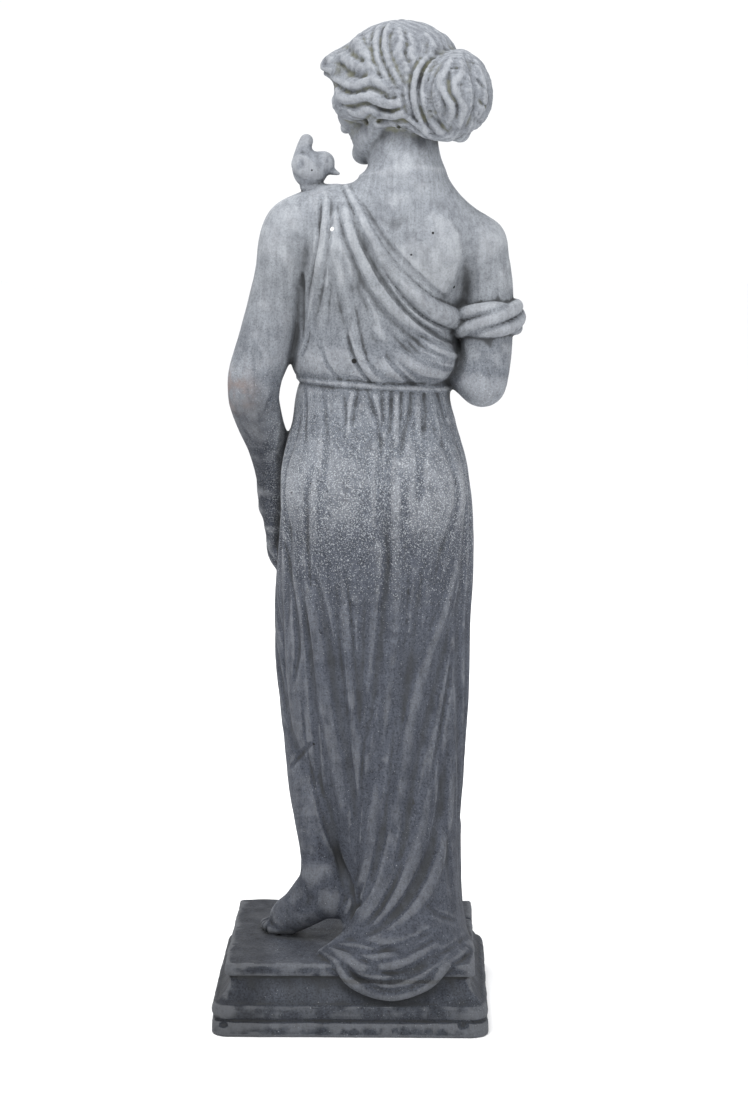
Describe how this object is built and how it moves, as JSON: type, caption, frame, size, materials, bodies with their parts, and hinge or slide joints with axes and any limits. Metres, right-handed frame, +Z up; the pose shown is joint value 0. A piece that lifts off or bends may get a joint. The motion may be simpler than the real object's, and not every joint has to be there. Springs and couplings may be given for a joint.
{
  "type": "garden statue",
  "caption": "Cast stone garden statue of a robed woman with a bird on her shoulder, standing on a moulded square plinth.",
  "frame": {"origin": "centre of the plinth's flat underside", "axes": "+Z up, the figure's front faces -Y, her left hand side is +X"},
  "size_m": [0.3744, 0.3175, 1.2001],
  "materials": {
    "cast_stone": "matte, fine sandy cast surface, paler towards the head"
  },
  "bodies": {
    "root": {"statue": "cast_stone"}
  },
  "joints": []
}
